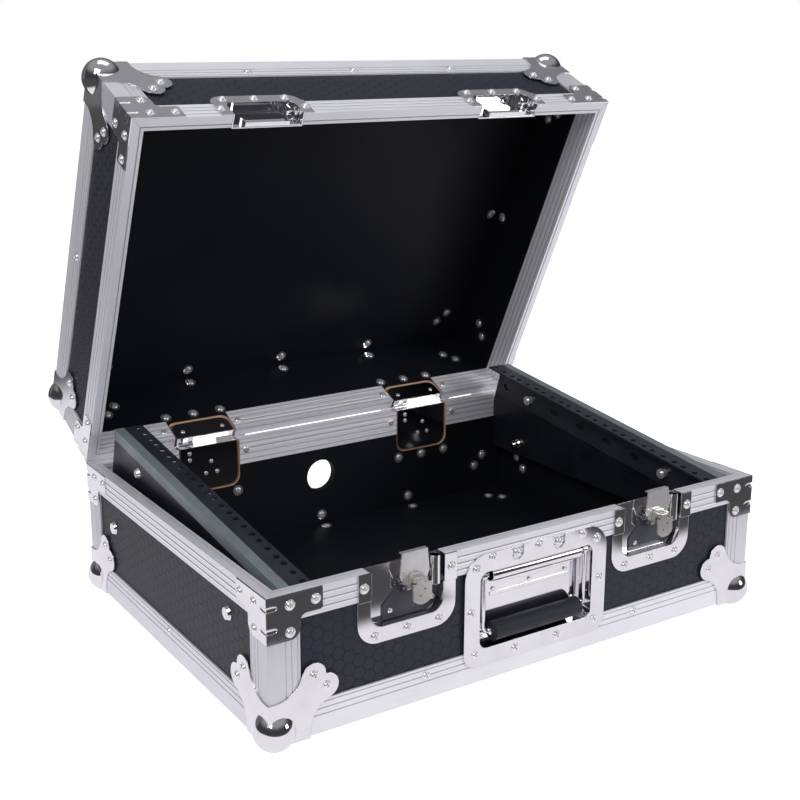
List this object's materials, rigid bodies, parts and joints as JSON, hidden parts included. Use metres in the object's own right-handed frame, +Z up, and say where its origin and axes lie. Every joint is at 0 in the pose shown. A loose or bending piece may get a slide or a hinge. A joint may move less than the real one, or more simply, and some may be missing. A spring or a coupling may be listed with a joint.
{
  "type": "slant mixer flight case",
  "caption": "Shallow road case with a deep hinged lid, sloping rack rails inside, ball corners, recessed latches and a sprung handle.",
  "frame": {"origin": "middle of the open case's outline, on the floor under the ball corners", "axes": "+X to the right seen from the front, +Y from the handle side to the hinge side, +Z up"},
  "size_m": [0.5694, 0.5118, 0.5525],
  "materials": {
    "laminate": "black laminated plywood, hexagon-embossed outside",
    "edge_aluminium": "satin, ridged",
    "chrome_steel": "bright plated",
    "nickel_steel": "nickel plated",
    "dark_steel": "dark satin",
    "powder_coat": "black powder coat",
    "grey_steel": "grey-blue satin",
    "rubber_grip": "matt"
  },
  "bodies": {
    "base": {"base_bottom_panel": "laminate", "base_front_panel": "laminate", "base_rear_panel": "laminate", "base_left_panel": "laminate", "base_right_panel": "laminate", "base_bottom_edges": "edge_aluminium", "base_corner_edges": "edge_aluminium", "base_rim_front": "edge_aluminium", "base_rim_rear": "edge_aluminium", "base_rim_left": "edge_aluminium", "base_rim_right": "edge_aluminium", "base_braces": "chrome_steel", "base_ball_corners": "chrome_steel", "base_rivets": "chrome_steel", "base_washers": "chrome_steel", "rack_rail_left": "powder_coat", "rack_rail_right": "powder_coat", "side_board_left": "laminate", "side_board_right": "laminate", "board_caps": "grey_steel", "rail_bolts": "dark_steel", "board_bolts": "chrome_steel", "board_spacers": "dark_steel", "latch_dishes": "chrome_steel", "latch_backplates": "dark_steel", "latch_tubes": "chrome_steel", "latch_pins": "chrome_steel", "handle_dish": "chrome_steel", "handle_cover": "chrome_steel", "handle_rod": "chrome_steel", "handle_springs": "chrome_steel", "hinge_base_dishes": "dark_steel", "hinge_pins": "chrome_steel", "stay_plates": "nickel_steel"},
    "lid": {"lid_top_panel": "laminate", "lid_front_panel": "laminate", "lid_rear_panel": "laminate", "lid_left_panel": "laminate", "lid_right_panel": "laminate", "lid_top_edges": "edge_aluminium", "lid_corner_edges": "edge_aluminium", "lid_rim_front": "edge_aluminium", "lid_rim_rear": "edge_aluminium", "lid_rim_left": "edge_aluminium", "lid_rim_right": "edge_aluminium", "lid_braces": "chrome_steel", "lid_ball_corners": "chrome_steel", "lid_rivets": "chrome_steel", "lid_washers": "chrome_steel", "keeper_dishes": "chrome_steel", "keeper_brackets": "chrome_steel", "hinge_lid_dishes": "dark_steel"},
    "tongue_left": {"latch_tongue_left": "chrome_steel"},
    "tongue_right": {"latch_tongue_right": "chrome_steel"},
    "boss_left": {"latch_boss_left": "nickel_steel"},
    "boss_right": {"latch_boss_right": "nickel_steel"},
    "wing_left": {"latch_wing_left": "nickel_steel"},
    "wing_right": {"latch_wing_right": "nickel_steel"},
    "bail": {"handle_bail": "chrome_steel", "handle_grip": "rubber_grip"}
  },
  "joints": [
    {"name": "lid_hinge", "type": "hinge", "parent": "base", "child": "lid", "pos_m": [0, 0.15075, 0.1397], "axis": [1, 0, 0], "range_deg": [0, 65]},
    {"name": "handle_swing", "type": "hinge", "parent": "base", "child": "bail", "pos_m": [0, -0.24285, 0.1069], "axis": [-1, 0, 0], "range_deg": [0, 95], "stiffness_Nm_per_rad": 0.12, "springref_deg": -20.05},
    {"name": "wing_turn_left", "type": "hinge", "parent": "base", "child": "boss_left", "pos_m": [-0.1335, -0.25025, 0.1227], "axis": [0, -1, 0], "range_deg": [0, 180]},
    {"name": "wing_fold_left", "type": "hinge", "parent": "boss_left", "child": "wing_left", "pos_m": [-0.1335, -0.25305, 0.1256], "axis": [-1, 0, 0], "range_deg": [0, 95]},
    {"name": "tongue_tilt_left", "type": "hinge", "parent": "base", "child": "tongue_left", "pos_m": [-0.1335, -0.24405, 0.1157], "axis": [-1, 0, 0], "range_deg": [0, 8.5]},
    {"name": "wing_turn_right", "type": "hinge", "parent": "base", "child": "boss_right", "pos_m": [0.1485, -0.25025, 0.1227], "axis": [0, -1, 0], "range_deg": [0, 180]},
    {"name": "wing_fold_right", "type": "hinge", "parent": "boss_right", "child": "wing_right", "pos_m": [0.1485, -0.25305, 0.1256], "axis": [-1, 0, 0], "range_deg": [0, 95]},
    {"name": "tongue_tilt_right", "type": "hinge", "parent": "base", "child": "tongue_right", "pos_m": [0.1485, -0.24405, 0.1157], "axis": [-1, 0, 0], "range_deg": [0, 8.5]}
  ],
  "couplings": [
    {"joint": "tongue_tilt_left", "follows": "wing_turn_left", "ratio": 0.047222},
    {"joint": "tongue_tilt_right", "follows": "wing_turn_right", "ratio": 0.047222}
  ]
}
